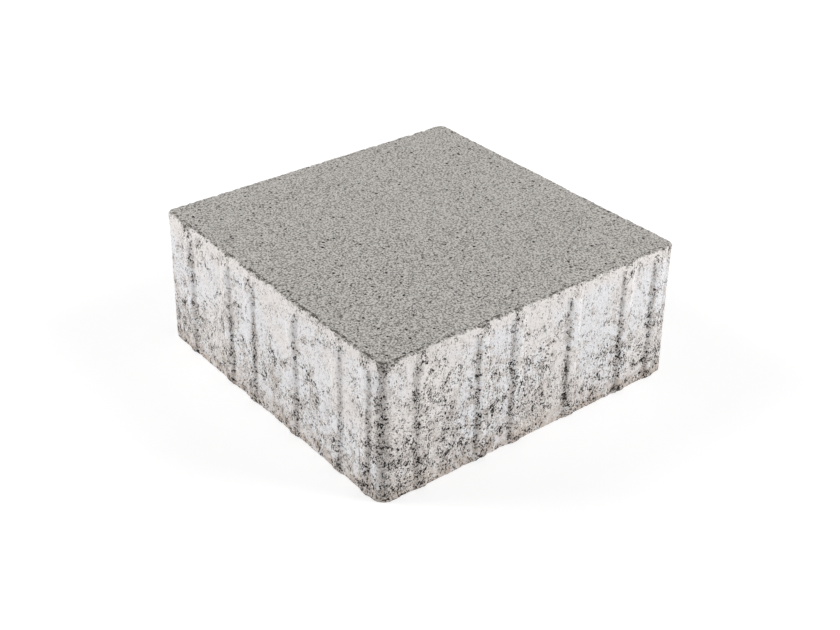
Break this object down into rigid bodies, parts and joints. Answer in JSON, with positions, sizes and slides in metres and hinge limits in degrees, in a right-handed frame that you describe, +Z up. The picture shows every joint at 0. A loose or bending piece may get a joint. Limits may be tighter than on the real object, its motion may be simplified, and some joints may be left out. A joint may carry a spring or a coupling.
{
  "type": "concrete paving stone",
  "caption": "Square concrete paving stone with a plain wearing face, leaning sides, rounded upright corners and interlocking spacer ribs cast on every side.",
  "frame": {"origin": "middle of the bed face, on the plane that the stone lies on", "axes": "+Z up, from the bed face to the wearing face; X and Y square to the sides"},
  "size_m": [0.203, 0.203, 0.08],
  "materials": {
    "concrete": "matt open-grained grey concrete, with a whitish lime film and dark pores on the sides"
  },
  "bodies": {
    "root": {"paving_stone": "concrete"}
  },
  "joints": []
}
